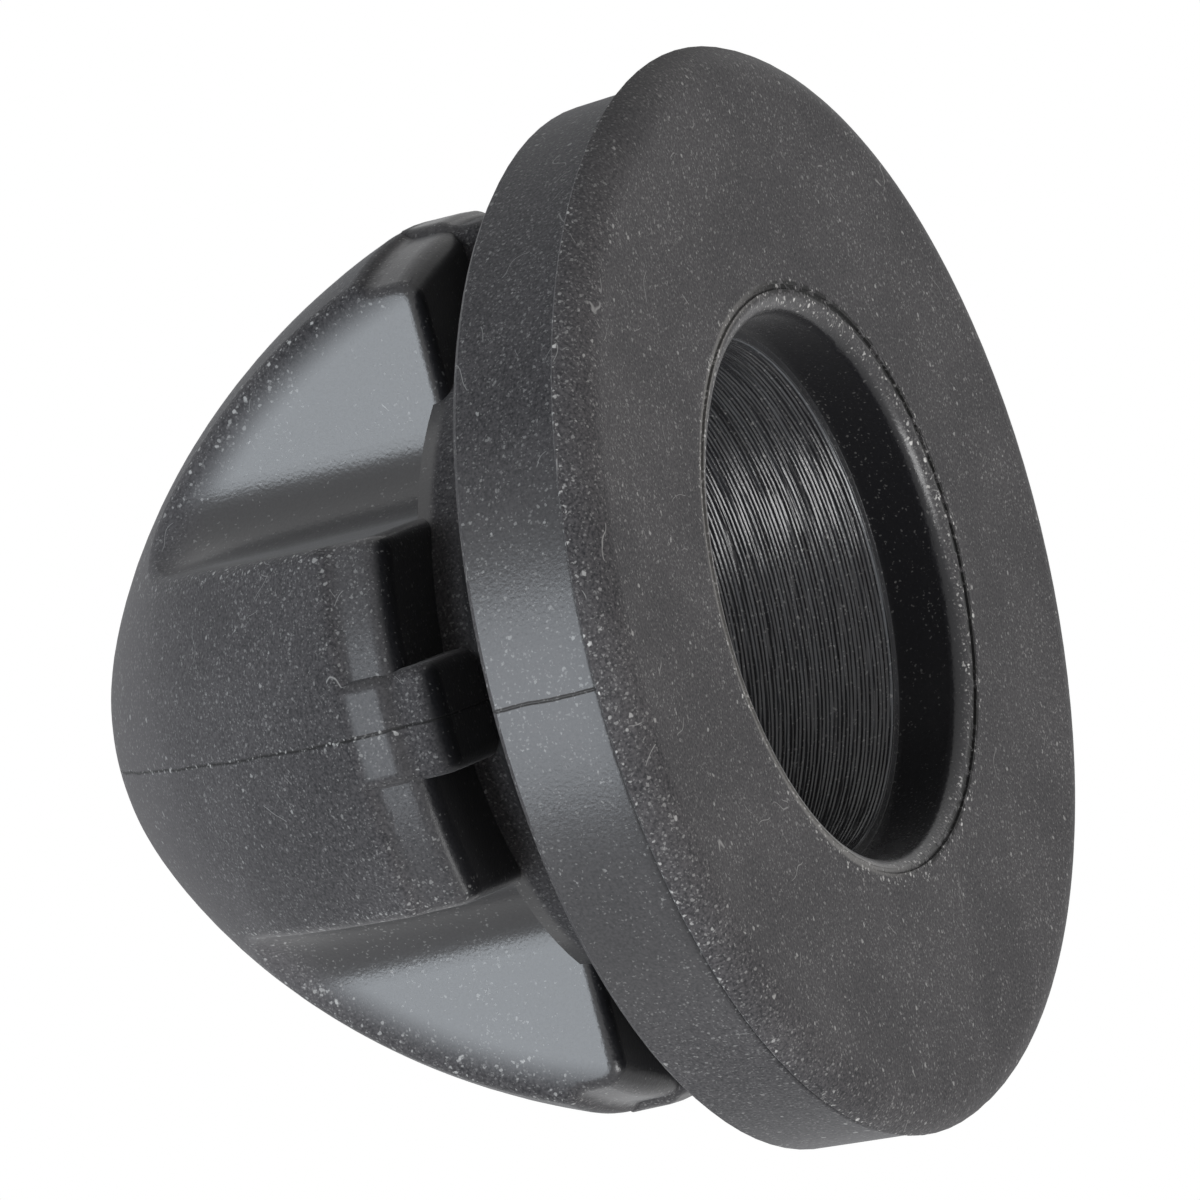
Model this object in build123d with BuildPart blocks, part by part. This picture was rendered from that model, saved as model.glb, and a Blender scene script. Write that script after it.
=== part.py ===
"""Rubber bushing with a plain round flange, a blind bore and a four-ribbed domed nose.

The flange face lies on the ground plane and the nose points up the Z axis.
All sizes are in millimetres.
"""
import os
from math import acos, atan2, cos, degrees, hypot, radians, sin, sqrt, tan

from build123d import *

# Bore, with a slightly wider mouth and a fine witness ring in the face around it.
bore_diameter = 10.68
bore_depth = 5.7
bore_floor_radius = 0.3
mouth_step = 0.16
mouth_depth = 1.55
mouth_edge_radius = 0.4
witness_ring_shift = 0.1
witness_ring_width = 0.12
witness_ring_depth = 0.06

# Neck around the bore, where a panel sits between the flange and the ribs.
neck_wall = 1.46
groove_width = 2.5

# Flange: a rounded front lip and a slightly smaller ring behind it.
flange_reach = 4.2
flange_thickness = 3.1
lip_depth = 0.66
lip_edge_radius = 0.9
lip_seam_relief = 0.06
ring_inset = 0.28
ring_taper = 0.12
ring_seam_radius = 0.15
ring_edge_radius = 0.12
mould_shift = 0.22

# Nose: a dome cut into four parallel-sided ribs.
nose_length = 10.25
rib_reach = 2.32
rib_width = 7.4
rib_edge_radius = 0.3
rib_land_drop = 0.18
rib_land_length = 1.05
rib_step_rise = 0.3
rib_step_radius = 0.35
rib_hollow_radius = 0.45
shoulder_radius = 0.6
tip_radius = 5.6
tip_blend_angle = 34.3
pocket_wall = 0.3
least_corner_radius = 0.3

# Tongues that reach from the middle of each rib towards the flange.
tongue_width = 2.2
tongue_reach = 0.65
tongue_land_length = 0.8
tongue_edge_radius = 0.3

bore_radius = bore_diameter / 2
mouth_radius = bore_radius + mouth_step
mouth_edge = mouth_radius + mouth_edge_radius
neck_radius = bore_radius + neck_wall
lip_radius = neck_radius + flange_reach
ring_radius = lip_radius - ring_inset
rib_radius = neck_radius + rib_reach
land_radius = rib_radius - rib_land_drop
shoulder_round = min(shoulder_radius, 0.6 * min(rib_land_length, tongue_land_length))
shoulder_height = flange_thickness + groove_width
neck_top_height = shoulder_height + rib_edge_radius
land_top_height = shoulder_height + rib_land_length
flank_start_height = land_top_height + rib_step_rise
overall_length = shoulder_height + nose_length

# The pockets between the ribs stop short of the bore.
pocket_nearest = bore_radius + pocket_wall + mould_shift
corner_radius = (pocket_nearest - rib_width / sqrt(2)) / (sqrt(2) - 1)
pocket_corner_radius = max(least_corner_radius, corner_radius)
pocket_end = rib_width / 2 + pocket_corner_radius


def quarter_round(start, end, corner):
    """Quarter of a circle between two points, taking off the corner where they meet."""
    middle = Vector(corner) + (Vector(start) + Vector(end) - Vector(corner) * 2) * (1 - sqrt(0.5))
    return ThreePointArc(start, middle, end)


def stepped_shoulder(start_height, land_length):
    """Underside, rounded corner, land and step of a rib's end, as far as its full radius."""
    round_start = (land_radius - shoulder_round, start_height)
    round_end = (land_radius, start_height + shoulder_round)
    land_top = start_height + land_length
    Line((0, start_height), round_start)
    quarter_round(round_start, round_end, (land_radius, start_height))
    Polyline(round_end, (land_radius, land_top), (rib_radius, land_top + rib_step_rise))


def soften_step(profile, start_height, land_length):
    """Rounds the step's outer corner and the hollow at its foot, each within its half of the slope."""
    land_top = start_height + land_length
    foot = profile.vertices().sort_by_distance((land_radius, land_top))[0]
    fillet(foot, radius=min(rib_hollow_radius, step_round_reach / tan(step_lean / 2)))
    crest = profile.vertices().sort_by_distance((rib_radius, land_top + rib_step_rise))[0]
    fillet(crest, radius=min(rib_step_radius, step_round_reach / tan((step_lean + flank_lean) / 2)))


def rib_cross(start_height, width, inner_radius):
    """Upright bars in the shape of a plus, to be kept of the dome."""
    with BuildPart() as cross:
        with BuildSketch(Plane.XY.offset(start_height)) as plan:
            Rectangle(2 * lip_radius, width)
            Rectangle(width, 2 * lip_radius)
            inner = plan.vertices().filter_by(lambda v: v.center().length < width)
            fillet(inner, radius=inner_radius)
        extrude(amount=overall_length)
    return cross.part


def on_rib_outline(edge):
    """Whether an edge bounds a rib's side or a pocket, apart from the joins between those."""
    place = edge.center()
    beside_rib = min(abs(place.X), abs(place.Y)) > rib_width / 2 - 0.01
    beyond_pocket = hypot(place.X, place.Y) > hypot(rib_width / 2, pocket_end) + 0.01
    return beside_rib and (beyond_pocket or edge.geom_type != GeomType.LINE)


def on_tongue_outline(edge):
    """Whether an edge bounds a tongue's side, below where it runs into its rib."""
    place = edge.center()
    beside_tongue = abs(min(abs(place.X), abs(place.Y)) - tongue_width / 2) < 0.01
    return beside_tongue and place.Z < flank_start_height - 0.01 and hypot(place.X, place.Y) > tongue_width


# The dome's flank runs from the ribs' widest point and joins the round of the tip smoothly.
lean = radians(tip_blend_angle)
lean_way = Vector(sin(lean), cos(lean))
tip_centre = Vector(0, overall_length - tip_radius)
tip_join = tip_centre + lean_way * tip_radius
tip_middle = tip_centre + Vector(sin(lean / 2), cos(lean / 2)) * tip_radius
flank_start = Vector(rib_radius, flank_start_height)
from_tip = flank_start - tip_centre
centre_gap = (from_tip.length**2 - tip_radius**2) / (2 * (tip_radius - from_tip.dot(lean_way)))
flank_centre = tip_centre - lean_way * centre_gap
flank_way = ((flank_start - flank_centre).normalized() + lean_way).normalized()
flank_middle = flank_centre + flank_way * (tip_radius + centre_gap)

# The step below the flank leans outwards, and the flank leans inwards from it.
step_lean = atan2(rib_land_drop, rib_step_rise)
flank_lean = radians((flank_start - flank_centre).get_angle(Vector(1, 0)))
step_round_reach = 0.49 * hypot(rib_land_drop, rib_step_rise)

# Four ribs with rounded long edges.
with BuildPart() as ribs:
    with BuildSketch(Plane.XZ) as profile:
        with BuildLine():
            stepped_shoulder(shoulder_height, rib_land_length)
            ThreePointArc(flank_start, flank_middle, tip_join)
            ThreePointArc(tip_join, tip_middle, (0, overall_length))
            Line((0, overall_length), (0, shoulder_height))
        make_face()
        soften_step(profile, shoulder_height, rib_land_length)
    revolve(axis=Axis.Z)
    add(rib_cross(shoulder_height, rib_width, pocket_corner_radius), mode=Mode.INTERSECT)
    fillet(ribs.edges().filter_by(on_rib_outline), radius=rib_edge_radius)

# Tongues: the same stepped shoulder, set closer to the flange.
tongue_height = shoulder_height - tongue_reach
with BuildPart() as tongues:
    with BuildSketch(Plane.XZ) as profile:
        with BuildLine():
            stepped_shoulder(tongue_height, tongue_land_length)
            Polyline(
                (rib_radius, tongue_height + tongue_land_length + rib_step_rise),
                flank_start,
                (0, flank_start_height),
                (0, tongue_height),
            )
        make_face()
        soften_step(profile, tongue_height, tongue_land_length)
    revolve(axis=Axis.Z)
    add(rib_cross(tongue_height, tongue_width, tongue_width / 4), mode=Mode.INTERSECT)
    fillet(tongues.edges().filter_by(on_tongue_outline), radius=tongue_edge_radius)

# Ring behind the lip, and the neck.
ring_rear_radius = ring_radius - ring_taper
with BuildPart() as ring:
    with BuildSketch(Plane.XZ):
        with BuildLine():
            seam_start = (ring_radius - ring_seam_radius, lip_depth)
            seam_end = (ring_radius, lip_depth + ring_seam_radius)
            Line((0, lip_depth), seam_start)
            quarter_round(seam_start, seam_end, (ring_radius, lip_depth))
            Polyline(
                seam_end,
                (ring_rear_radius, flange_thickness - ring_edge_radius),
                (ring_rear_radius - ring_edge_radius, flange_thickness),
                (neck_radius, flange_thickness),
                (neck_radius, neck_top_height),
                (0, neck_top_height),
                (0, lip_depth),
            )
        make_face()
    revolve(axis=Axis.Z)

# Front lip, formed by the other part of the mould: its edge round is cut off at the seam.
lip_round_depth = lip_depth - lip_seam_relief
lip_turn = acos(1 - lip_round_depth / lip_edge_radius)
lip_round_centre = (lip_radius - lip_edge_radius * sin(lip_turn), lip_edge_radius)
with BuildPart() as lip:
    with BuildSketch(Plane.XZ):
        with BuildLine():
            Line((0, 0), (lip_round_centre[0], 0))
            CenterArc(lip_round_centre, lip_edge_radius, 270, degrees(lip_turn))
            Polyline(
                (lip_radius, lip_round_depth),
                (lip_radius - lip_seam_relief, lip_depth),
                (0, lip_depth),
                (0, 0),
            )
        make_face()
    revolve(axis=Axis.Z)

with BuildPart() as hollow:
    with BuildSketch(Plane.XZ):
        with BuildLine():
            mouth_start = (mouth_edge, 0)
            mouth_end = (mouth_radius, mouth_edge_radius)
            floor_start = (bore_radius, bore_depth - bore_floor_radius)
            floor_end = (bore_radius - bore_floor_radius, bore_depth)
            Polyline((0, bore_depth), (0, 0), mouth_start)
            quarter_round(mouth_start, mouth_end, (mouth_radius, 0))
            Polyline(mouth_end, (mouth_radius, mouth_depth), (bore_radius, mouth_depth), floor_start)
            quarter_round(floor_start, floor_end, (bore_radius, bore_depth))
            Line(floor_end, (0, bore_depth))
        make_face()
    revolve(axis=Axis.Z)

# The core pin's mark is a fine ring that isn't quite concentric with the bore.
with BuildPart() as witness_ring:
    with BuildSketch():
        with Locations((witness_ring_shift, 0)):
            Circle(mouth_edge + witness_ring_width / 2)
            Circle(mouth_edge - witness_ring_width / 2, mode=Mode.SUBTRACT)
    extrude(amount=witness_ring_depth)

# The rear of the moulding sits slightly to one side of the lip and bore.
rear_shift = Location((-mould_shift, 0, 0))
with BuildPart() as bushing:
    add(lip)
    add(ring.part.moved(rear_shift))
    add(ribs.part.moved(rear_shift))
    add(tongues.part.moved(rear_shift))
    add(hollow, mode=Mode.SUBTRACT)
    add(witness_ring, mode=Mode.SUBTRACT)

bushing.part.label = "rubber bushing"
os.makedirs("parts", exist_ok=True)
export_step(bushing.part, "parts/bushing.step")
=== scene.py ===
"""Looks for the rubber bushing: dusty moulded rubber with a turned bore, seen from below its flange."""
import math

import bpy
from mathutils import Matrix, Vector


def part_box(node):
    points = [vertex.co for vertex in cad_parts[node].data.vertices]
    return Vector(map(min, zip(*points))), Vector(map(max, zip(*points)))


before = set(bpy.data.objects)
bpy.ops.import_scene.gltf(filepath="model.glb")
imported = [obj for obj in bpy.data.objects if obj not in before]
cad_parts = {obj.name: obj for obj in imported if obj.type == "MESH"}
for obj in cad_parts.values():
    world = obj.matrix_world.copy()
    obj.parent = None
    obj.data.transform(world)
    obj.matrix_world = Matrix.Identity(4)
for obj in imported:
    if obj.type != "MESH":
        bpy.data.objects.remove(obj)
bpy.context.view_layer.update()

MILLIMETRE = 0.001
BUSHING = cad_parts["bushing"]
LOW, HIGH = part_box("bushing")
FLANGE_RADIUS = (HIGH.y - LOW.y) / 2

# The camera looks up at the flange face, a little off the line of one rib.
TURN = math.radians(3.5)
TILT = math.radians(65.0)
ROLL = math.radians(13.2)
CAMERA_DISTANCE = 25 * FLANGE_RADIUS
VIEW_WIDTH = 2.154 * FLANGE_RADIUS
FACE_RIGHT_OF_MIDDLE = 0.435 * FLANGE_RADIUS
FACE_ABOVE_MIDDLE = 0.031 * FLANGE_RADIUS
SENSOR_WIDTH = 36
CLIP_START = 0.001

# Light from the world on the object, where the white backdrop is 1. All lamps stand at one distance.
SOFT_LIGHT = 0.2
LAMP_DISTANCE = 20 * FLANGE_RADIUS
COOL_WHITE = (0.86, 0.93, 1.0)

# The floor lies just below the flange face. Its glow is the share of plain white in what the camera sees.
FLOOR_REACH = 60 * FLANGE_RADIUS
FLOOR_LEVEL = -0.02 * MILLIMETRE
FLOOR_COLOUR = (0.85, 0.85, 0.85, 1)
FLOOR_GLOW = 0.45

# Sizes of the moulding in millimetres, for placing its finish.
MOULD_SHIFT = 0.22
SEAM_HEIGHT = 0.66
FLANGE_THICKNESS = 3.1
RING_RADIUS = 10.7
TONGUE_HEIGHT = 4.95
SHOULDER_HEIGHT = 5.6
LAND_TOP = 6.65
RIB_HALF_WIDTH = 3.7
FLANK_CENTRE_RADIUS = -5.54
FLANK_CENTRE_HEIGHT = 2.12
FLANK_RADIUS = 15.44
MOUTH_RADIUS = 5.5
MOUTH_DEPTH = 1.55
MOUTH_EDGE_RADIUS = 5.9
BORE_END = 5.9

# The core pin left a ring around the mouth, a little off the bore's axis, and its turning marks in the bore.
# The marks are one feed apart. The given share of each feed is a facet with the given slope.
RING_SHIFT = 0.1
FEED = 0.09
FACET_SHARE = 0.75
FACET_SLOPE = 0.75

# Depths of the relief.
GRAIN_DEPTH = 0.006
CLEAN_GRAIN_DEPTH = 0.005
STREAK_DEPTH = 0.008
LINE_DEPTH = 0.03

CLEAN_RUBBER = (0.010, 0.010, 0.012, 1)
DUSTY_RUBBER = (0.095, 0.090, 0.093, 1)
# Painted highlight: a pale blue grey for the lighter streaks on the turned wall and the lit step at the
# mouth's end.
PAINTED_HIGHLIGHT_GREY = (0.30, 0.32, 0.35, 1)
# Painted shade in the grooves of the parting line and of the ring's far half.
PAINTED_CREVICE_SHADE = (0.006, 0.006, 0.006, 1)
# Dust, and painted light over the shade of the ring's groove on its near half.
NEAR_RING_DUST_AND_LIGHT = (0.16, 0.155, 0.15, 1)
DUST = (0.75, 0.74, 0.72, 1)


def axes_of_view():
    """The camera's right, up and back directions."""
    towards = Vector((math.sin(TURN), -math.cos(TURN), 0))
    aside = Vector((math.cos(TURN), math.sin(TURN), 0))
    axis = Vector((0, 0, 1))
    along = axis * math.sin(TILT) + towards * math.cos(TILT)
    right = -along * math.cos(ROLL) - aside * math.sin(ROLL)
    up = -along * math.sin(ROLL) + aside * math.cos(ROLL)
    back = towards * math.sin(TILT) - axis * math.cos(TILT)
    return right, up, back


def placed(place, right, up, back):
    """A matrix that stands at a place and faces along minus back."""
    return Matrix.Translation(place) @ Matrix((right, up, back)).transposed().to_4x4()


def add_camera():
    right, up, back = axes_of_view()
    camera = bpy.data.objects.new("camera", bpy.data.cameras.new("camera"))
    bpy.context.scene.collection.objects.link(camera)
    target = -right * FACE_RIGHT_OF_MIDDLE - up * FACE_ABOVE_MIDDLE
    camera.matrix_world = placed(target + back * CAMERA_DISTANCE, right, up, back)
    camera.data.sensor_width = SENSOR_WIDTH
    camera.data.lens = SENSOR_WIDTH * CAMERA_DISTANCE / VIEW_WIDTH
    camera.data.clip_start = CLIP_START
    bpy.context.scene.camera = camera


def add_lamp(name, direction, width, height, brightness, colour=(1, 1, 1)):
    """A soft box that faces the object. Its sides are in flange radii, and brightness 1 looks white."""
    data = bpy.data.lights.new(name, "AREA")
    data.shape = "RECTANGLE"
    data.size = width * FLANGE_RADIUS
    data.size_y = height * FLANGE_RADIUS
    data.energy = brightness * math.pi * data.size * data.size_y
    data.color = colour
    lamp = bpy.data.objects.new(name, data)
    bpy.context.scene.collection.objects.link(lamp)
    back = Vector(direction).normalized()
    right = Vector((0, 0, 1)).cross(back).normalized()
    lamp.matrix_world = placed((LOW + HIGH) / 2 + back * LAMP_DISTANCE, right, back.cross(right), back)


def new_node(tree, kind, inputs=None, **settings):
    """Adds a shader node. Inputs are values or the sockets that feed them."""
    made = tree.nodes.new("ShaderNode" + kind)
    for name, value in settings.items():
        setattr(made, name, value)
    for key, value in (inputs or {}).items():
        value = getattr(value, "socket", value)
        if isinstance(value, bpy.types.NodeSocket):
            tree.links.new(value, made.inputs[key])
        else:
            made.inputs[key].default_value = value
    return made


class Number:
    """A number that varies over the surface, for use in plain sums."""

    def __init__(self, tree, socket):
        self.tree = tree
        self.socket = socket

    def work(self, operation, *others):
        inputs = dict(enumerate((self, *others)))
        return Number(self.tree, new_node(self.tree, "Math", inputs, operation=operation).outputs[0])

    def __add__(self, other):
        return self.work("ADD", other)

    def __sub__(self, other):
        return self.work("SUBTRACT", other)

    def __mul__(self, other):
        return self.work("MULTIPLY", other)

    def or_more(self, other):
        return self.work("MAXIMUM", other)

    def or_less(self, other):
        return self.work("MINIMUM", other)

    def size(self):
        return self.work("ABSOLUTE")

    def ramp(self, start, end):
        """Rises smoothly from 0 at start to 1 at end, or falls where start is the larger."""
        inputs = {"Value": self, "From Min": start, "From Max": end}
        made = new_node(self.tree, "MapRange", inputs, interpolation_type="SMOOTHSTEP")
        return Number(self.tree, made.outputs["Result"])

    def near(self, middle, reach):
        """1 at the middle, falling to 0 at the reach on both sides of it."""
        return (self - middle).size().ramp(reach, 0)

    def between(self, start, end, blur=0.1):
        """1 between two places, falling to 0 over the blur outside them."""
        return self.ramp(start - blur, start) * self.ramp(end + blur, end)

    def opposite(self):
        """1 where this is 0, and 0 where it is 1."""
        made = new_node(self.tree, "Math", {0: 1.0, 1: self}, operation="SUBTRACT")
        return Number(self.tree, made.outputs[0])


class Surface:
    """Places on the bushing in millimetres, and the textures that its finish is made of."""

    def __init__(self, tree):
        self.tree = tree
        coordinates = new_node(tree, "TexCoord").outputs["Object"]
        self.place = self.vector("SCALE", coordinates, Scale=1 / MILLIMETRE)
        self.x, self.y, self.z = self.parts(self.place)
        self.radius = self.across(self.x, self.y)
        self.rear_x = self.x + MOULD_SHIFT
        self.rear_radius = self.across(self.rear_x, self.y)
        self.facing_z = self.parts(new_node(tree, "NewGeometry").outputs["Normal"])[2]
        self.ragged_place = self.vector("ADD", self.place, self.nudge())

    def vector(self, operation, first, second=None, **inputs):
        inputs[0] = first
        if second is not None:
            inputs[1] = second
        return new_node(self.tree, "VectorMath", inputs, operation=operation).outputs["Vector"]

    def parts(self, vector):
        outputs = new_node(self.tree, "SeparateXYZ", {0: vector}).outputs
        return [Number(self.tree, socket) for socket in outputs]

    def dot(self, first, second):
        inputs = {0: first, 1: second}
        made = new_node(self.tree, "VectorMath", inputs, operation="DOT_PRODUCT")
        return Number(self.tree, made.outputs["Value"])

    def across(self, first, second):
        """Distance to a point that is this far away along two directions at right angles."""
        return (first * first + second * second).work("SQRT")

    def nudge(self):
        """A short way in any direction, which makes the edges of dots ragged."""
        inputs = {"Vector": self.place, "Scale": 12.0, "Detail": 1.0}
        colour = new_node(self.tree, "TexNoise", inputs).outputs["Color"]
        return self.vector("SCALE", self.vector("SUBTRACT", colour, (0.5, 0.5, 0.5)), Scale=0.1)

    def noise(self, size, detail=2.0, around=1.0, seed=0.0):
        """Variation from 0 to 1 with blotches of about this size, longer around the axis if around is low."""
        place = self.vector("MULTIPLY", self.place, (around / size, around / size, 1 / size))
        moved = self.vector("ADD", place, (seed, seed, seed))
        made = new_node(self.tree, "TexNoise", {"Vector": moved, "Scale": 1.0, "Detail": detail})
        return Number(self.tree, made.outputs[0])

    def cells(self, place, spacing, seed):
        """Cells of about the given spacing, and the place moved by the seed in which they lie."""
        moved = self.vector("ADD", place, (seed, seed, seed))
        return moved, new_node(self.tree, "TexVoronoi", {"Vector": moved, "Scale": 1 / spacing}).outputs

    def specks(self, spacing, radius, share, seed=0.0):
        """Ragged dots scattered at about the given spacing. The share of places that hold one may vary."""
        cell = self.cells(self.ragged_place, spacing, seed)[1]
        chance, size = self.parts(cell["Color"])[:2]
        distance = Number(self.tree, cell["Distance"]) * spacing
        reach = size * (0.7 * radius) + 0.6 * radius
        return (reach - distance).ramp(0.0, 0.5 * radius) * (share - chance).ramp(0.0, 0.02)

    def hairs(self, spacing, length, width, share, seed=0.0):
        """Thin bent hairs of up to the given length. The share of places that hold one may vary."""
        moved, cell = self.cells(self.place, spacing, seed)
        chance = (self.parts(cell["Color"])[0] * 61.7).work("FRACT")
        away = self.vector("SUBTRACT", moved, cell["Position"])
        sideways = self.vector("NORMALIZE", self.vector("SUBTRACT", cell["Color"], (0.5, 0.5, 0.5)))
        bend = (self.noise(0.6, detail=0.0, seed=seed) - 0.5) * 0.5
        from_hair = self.dot(away, sideways) + bend
        distance = Number(self.tree, cell["Distance"]) * spacing
        inside = distance.ramp(length / 2, length / 2 - 0.03)
        return from_hair.near(0.0, width) * inside * (share - chance).ramp(0.0, 0.02)

    def mix(self, start, end, share):
        """Goes from one number to the other by a share between 0 and 1."""
        inputs = {"Factor": share, 2: start, 3: end}
        return Number(self.tree, new_node(self.tree, "Mix", inputs, data_type="FLOAT").outputs[0])

    def blend(self, start, end, share):
        """Goes from one colour to the other by a share between 0 and 1."""
        inputs = {"Factor": share, 6: start, 7: end}
        return new_node(self.tree, "Mix", inputs, data_type="RGBA").outputs[2]


class Places:
    """Parts of the surface with a finish of their own. Each is 1 on that part and 0 off it."""

    def __init__(self, on):
        self.front = on.z.ramp(0.25, 0.1)
        self.above_shoulder = on.z.ramp(SHOULDER_HEIGHT - 0.1, SHOULDER_HEIGHT + 0.1)
        from_rib_middle = on.rear_x.size().or_less(on.y.size())
        self.pocket = self.find_pocket(on, from_rib_middle)

        # The bore with its mouth. The part behind the mouth is turned.
        within = on.radius.ramp(MOUTH_RADIUS + 0.2, MOUTH_RADIUS + 0.02)
        self.bore = within * on.z.ramp(BORE_END, BORE_END - 0.1)
        self.turned = self.bore * on.z.ramp(MOUTH_DEPTH - 0.02, MOUTH_DEPTH + 0.02)

        self.glossy = self.find_glossy(on)
        # Clean and shaded places take little grey film. The pockets and lands are clean rubber; the groove,
        # the undersides and the bore are painted darker as shade, and are partly clean rubber too.
        recess = self.find_groove(on).or_more(self.find_underside(on))
        self.clean = self.glossy.or_more(recess).or_more(self.bore)

        # The mould's parting line, and the core pin's ring. The ring's far half is painted dark, as shade in
        # its groove; its near half is painted pale, as dust and as painted light that cancels the groove's
        # shade.
        wobble = (on.noise(0.9, detail=3.0) - 0.5) * 0.12
        from_parting = on.rear_x + wobble
        behind_seam = on.z.ramp(SEAM_HEIGHT, SEAM_HEIGHT + 0.1)
        self.parting = from_parting.near(0.0, 0.045) * behind_seam * self.bore.opposite()
        from_axis = on.across(on.x - RING_SHIFT, on.y) + wobble * 0.4
        ring = from_axis.near(MOUTH_EDGE_RADIUS, 0.18).ramp(0.0, 0.5) * self.front
        far_side = on.y.ramp(-3.0, 1.0)
        self.far_ring_shade = ring * far_side * on.noise(0.3, seed=6.1).ramp(0.41, 0.49)
        self.near_ring_dust_and_light = ring * far_side.opposite()

        self.dusty = self.find_dusty(on, from_rib_middle, from_parting, from_axis)

    def find_pocket(self, on, from_rib_middle):
        """Between the ribs, below the surface that the dome would have there."""
        beside_ribs = from_rib_middle.ramp(RIB_HALF_WIDTH - 0.3, RIB_HALF_WIDTH)
        from_centre = on.across(on.rear_radius - FLANK_CENTRE_RADIUS, on.z - FLANK_CENTRE_HEIGHT)
        below_dome = from_centre.ramp(FLANK_RADIUS - 0.1, FLANK_RADIUS - 0.9)
        return below_dome * self.above_shoulder * beside_ribs

    def find_groove(self, on):
        """The panel groove, as far as the tongues."""
        within = on.radius.ramp(RING_RADIUS - 0.3, RING_RADIUS - 0.9)
        return on.z.between(FLANGE_THICKNESS, TONGUE_HEIGHT) * within

    def find_underside(self, on):
        """The faces of the ribs and tongues that look at the flange."""
        return on.facing_z.ramp(-0.3, -0.7) * on.z.between(TONGUE_HEIGHT, SHOULDER_HEIGHT + 0.3)

    def find_glossy(self, on):
        """The pockets and, less so, the turned wall, the mouth, the lands and one side of the flange."""
        rounded = on.radius.between(MOUTH_RADIUS + 0.06, MOUTH_RADIUS + 0.25, 0.12)
        mouth = rounded * on.z.ramp(1.0, 0.8)
        land = on.z.between(SHOULDER_HEIGHT + 0.3, LAND_TOP, 0.2)
        upright = on.facing_z.size().ramp(0.7, 0.3) * on.x.between(-5.5, 2.5, 3.0)
        outside = on.radius.ramp(RING_RADIUS - 1.7, RING_RADIUS - 1.2)
        side = on.z.between(SEAM_HEIGHT, FLANGE_THICKNESS) * outside * upright
        inner = (self.turned * 0.55).or_more(self.bore * 0.1).or_more(mouth * 0.4)
        return self.pocket.or_more(inner).or_more(land * 0.35).or_more(side * 0.65)

    def find_dusty(self, on, from_rib_middle, from_parting, from_axis):
        """Where dust gathers: the seam, the mouth's rim and ring, the ribs' edges and the parting line."""
        seam = on.z.near(SEAM_HEIGHT - 0.05, 0.16) * on.radius.ramp(RING_RADIUS - 0.4, RING_RADIUS - 0.1)
        rim = on.radius.between(MOUTH_RADIUS + 0.15, MOUTH_EDGE_RADIUS + 0.15, 0.2) * self.front
        along_edges = from_rib_middle.near(RIB_HALF_WIDTH - 0.1, 0.3)
        rib_edge = along_edges * self.above_shoulder * self.pocket.opposite()
        beside_parting = from_parting.near(0.0, 0.12) * self.above_shoulder
        lint = from_axis.near(MOUTH_EDGE_RADIUS - 0.15, 0.1) * self.front
        return seam.or_more(rim).or_more(rib_edge * 0.6).or_more(beside_parting).or_more(lint * 1.5)


def dust_on(on, places, patchy):
    """Dust in ragged dots of three sizes and a few hairs, thicker in some places than in others."""
    share = places.dusty * 0.6 - places.clean * 0.45 + patchy * 0.3
    small = on.specks(spacing=0.065, radius=0.026, share=share + 0.50)
    medium = on.specks(spacing=0.12, radius=0.036, share=share + 0.30, seed=7.3)
    large = on.specks(spacing=0.28, radius=0.048, share=share + 0.16, seed=3.1)
    dots = (small * 0.12).or_more(medium * (places.dusty * 0.3 + 0.2))
    dots = dots.or_more(large * (places.dusty * 0.4 + 0.35))
    long_share = places.clean * -0.15 + 0.18
    long_hairs = on.hairs(spacing=1.1, length=0.8, width=0.013, share=long_share, seed=5.9)
    short_hairs = on.hairs(spacing=0.6, length=0.4, width=0.012, share=share, seed=2.3)
    return dots.or_more(long_hairs.or_more(short_hairs) * 0.3)


def film_on(on, places, patchy, mottled):
    """The grey film over the rubber: mottled, thin on clean rubber, thin in the groove, on the undersides and
    in the bore as painted shade, and lighter towards the tip.
    """
    even = patchy * 0.15 + mottled * 0.85
    # Painted shade: the film thins in the groove, on the undersides and most of all in the bore, so they
    # render darker.
    film = even * (places.clean * -0.9 + 1.0) * (places.bore * -0.6 + 1.0)
    # The colour grows lighter towards the tip.
    towards_tip = on.z.ramp(7.5, 14.0) * 0.4 + on.z.ramp(11.0, 15.5) * 0.4
    return film + towards_tip * places.clean.opposite()


def facets_on(on):
    """Turning marks one feed apart, each a slope and a step back, of uneven depth along the way around."""
    feed = on.noise(0.25, around=0.06, seed=9.6) * 0.8 + on.z * (1 / FEED)
    depth = on.noise(0.12, detail=1.0, around=0.1, seed=1.7).ramp(0.25, 0.75) * 0.5 + 0.5
    return feed.work("FRACT").ramp(0.0, FACET_SHARE) * depth


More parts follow.
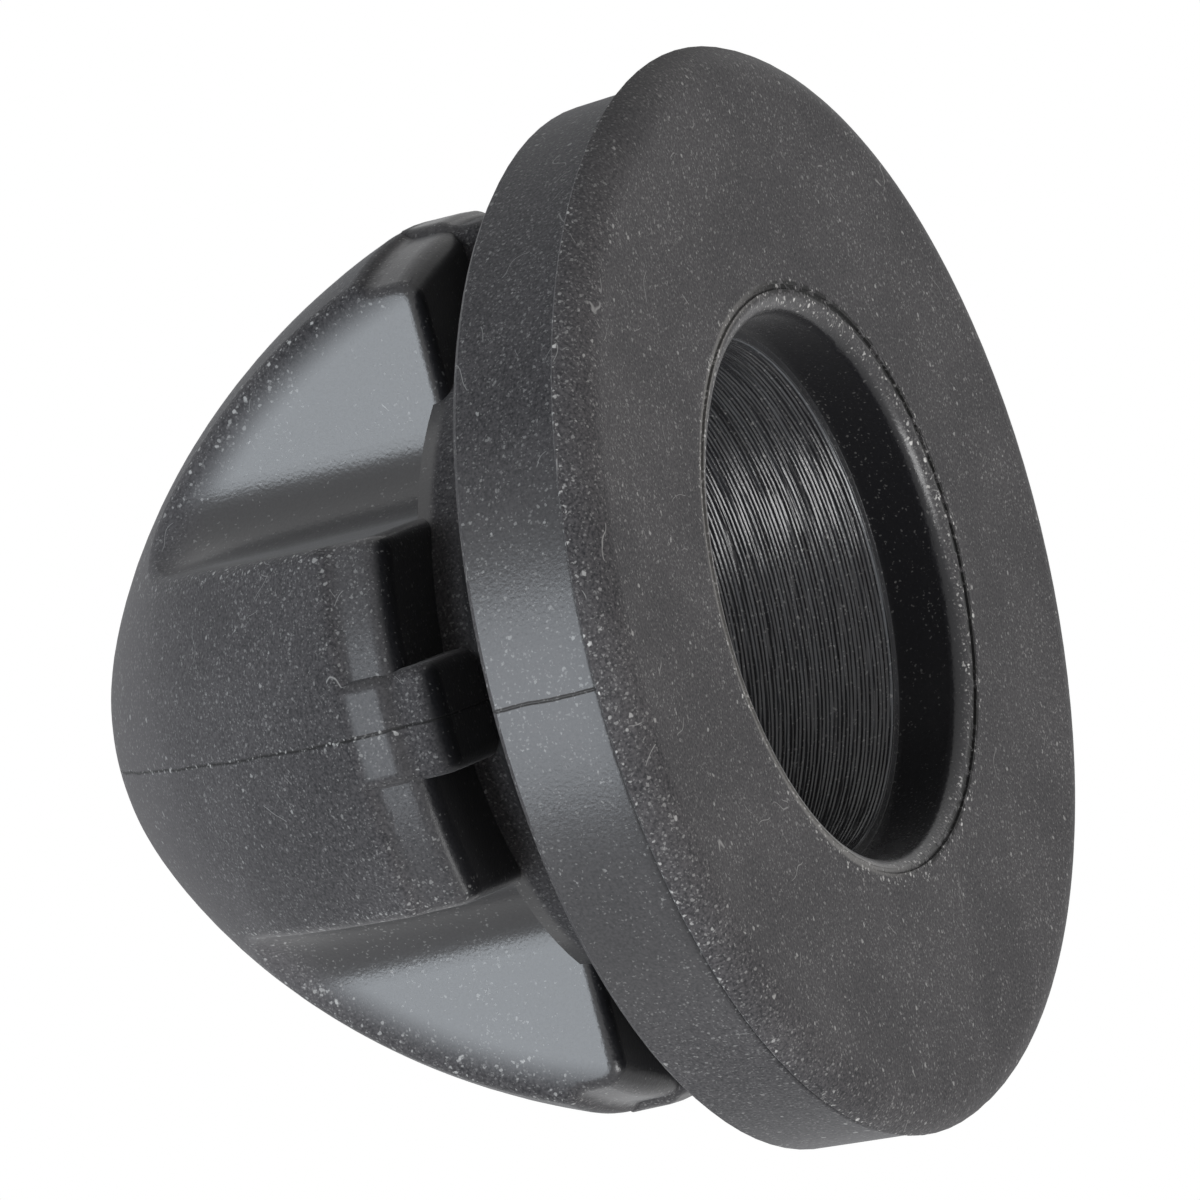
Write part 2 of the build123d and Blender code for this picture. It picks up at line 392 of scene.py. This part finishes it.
def rubber():
    material = bpy.data.materials.new("dusty_rubber")
    material.use_nodes = True
    tree = material.node_tree
    shader = tree.nodes["Principled BSDF"]
    on = Surface(tree)
    places = Places(on)

    patchy = on.noise(3.2, detail=3.0).ramp(0.38, 0.62)
    mottled = on.noise(0.06, seed=2.9).ramp(0.2, 0.8)
    streaks = on.noise(0.055, around=0.03, seed=4.4)
    dust = dust_on(on, places, patchy)

    # Painted highlight on the turned wall: lighter streaks, and the lit step where the mouth ends.
    mouth_step = on.z.near(MOUTH_DEPTH + 0.06, 0.06)
    painted_highlight = (streaks.ramp(0.4, 0.7) * 0.08 + mouth_step * 0.2) * places.turned
    colour = on.blend(CLEAN_RUBBER, DUSTY_RUBBER, film_on(on, places, patchy, mottled))
    colour = on.blend(colour, PAINTED_HIGHLIGHT_GREY, painted_highlight)
    # Painted shade: the parting line and the far half of the ring are painted near black, as shade in their
    # grooves.
    colour = on.blend(colour, PAINTED_CREVICE_SHADE, (places.parting * 0.9).or_more(places.far_ring_shade * 0.95))
    # The near half of the ring is painted pale: dust, and painted light that cancels the groove's shade.
    colour = on.blend(colour, NEAR_RING_DUST_AND_LIGHT, places.near_ring_dust_and_light)
    colour = on.blend(colour, DUST, dust * (places.far_ring_shade * -0.85 + 1.0))
    tree.links.new(colour, shader.inputs["Base Color"])

    roughness = on.mix(0.75, 0.35, places.clean) + (mottled - 0.5) * 0.12 - places.bore * 0.12
    tree.links.new(roughness.or_more(dust * 0.85).socket, shader.inputs["Roughness"])

    grain = on.noise(0.07, detail=1.0, seed=8.2) * on.mix(GRAIN_DEPTH, CLEAN_GRAIN_DEPTH, places.clean)
    marks = facets_on(on) * (FEED * FACET_SHARE * FACET_SLOPE) + streaks * STREAK_DEPTH
    lines = (places.parting + places.far_ring_shade) * LINE_DEPTH
    relief = grain + marks * places.turned - lines
    bump = new_node(tree, "Bump", {"Height": relief, "Distance": MILLIMETRE, "Strength": 1.0})
    tree.links.new(bump.outputs[0], shader.inputs["Normal"])
    tree.links.new(bump.outputs[0], shader.inputs["Coat Normal"])
    tree.links.new(places.glossy.socket, shader.inputs["Coat Weight"])
    shader.inputs["Coat Roughness"].default_value = 0.26
    shader.inputs["Specular IOR Level"].default_value = 0.2
    shader.inputs["Sheen Weight"].default_value = 0.13
    shader.inputs["Sheen Roughness"].default_value = 0.5
    return material


def floor_material():
    """Pale, seen from above only, and no hindrance to light that comes from below."""
    material = bpy.data.materials.new("floor")
    material.use_nodes = True
    tree = material.node_tree
    tree.nodes.remove(tree.nodes["Principled BSDF"])
    matt = new_node(tree, "BsdfDiffuse", {"Color": FLOOR_COLOUR})
    white = new_node(tree, "Emission", {"Color": (1, 1, 1, 1), "Strength": 1.0})
    pale = new_node(tree, "MixShader", {0: FLOOR_GLOW, 1: matt.outputs[0], 2: white.outputs[0]})
    clear = new_node(tree, "BsdfTransparent")
    seen = Number(tree, new_node(tree, "LightPath").outputs["Is Camera Ray"])
    from_above = Number(tree, new_node(tree, "NewGeometry").outputs["Backfacing"]).opposite()
    shader = new_node(tree, "MixShader", {0: seen * from_above, 1: clear.outputs[0], 2: pale.outputs[0]})
    tree.links.new(shader.outputs[0], tree.nodes["Material Output"].inputs["Surface"])
    return material


def add_floor():
    mesh = bpy.data.meshes.new("floor")
    ways = ((-1, -1), (1, -1), (1, 1), (-1, 1))
    corners = [(x * FLOOR_REACH, y * FLOOR_REACH, FLOOR_LEVEL) for x, y in ways]
    mesh.from_pydata(corners, [], [(0, 1, 2, 3)])
    floor = bpy.data.objects.new("floor", mesh)
    bpy.context.scene.collection.objects.link(floor)
    mesh.materials.append(floor_material())


def light_world():
    """White where the camera or a reflection sees it, and a softer light on the object."""
    world = bpy.data.worlds.new("world")
    bpy.context.scene.world = world
    world.use_nodes = True
    tree = world.node_tree
    rays = new_node(tree, "LightPath").outputs
    seen = Number(tree, rays["Is Camera Ray"])
    for name in ("Is Glossy Ray", "Is Transmission Ray"):
        seen = seen.or_more(Number(tree, rays[name]))
    soft = new_node(tree, "Background", {"Color": (1, 1, 1, 1), "Strength": SOFT_LIGHT})
    white = new_node(tree, "Background", {"Color": (1, 1, 1, 1), "Strength": 1.0})
    shader = new_node(tree, "MixShader", {0: seen, 1: soft.outputs[0], 2: white.outputs[0]})
    tree.links.new(shader.outputs[0], tree.nodes["World Output"].inputs["Surface"])


BUSHING.data.materials.clear()
BUSHING.data.materials.append(rubber())

add_camera()
add_floor()
light_world()
add_lamp("key", (-0.05, -0.90, 0.43), width=15, height=13, brightness=5.2, colour=COOL_WHITE)
add_lamp("fill", (-0.45, -0.42, -0.79), width=9, height=9, brightness=12.0)

bpy.context.scene.view_settings.view_transform = "Standard"
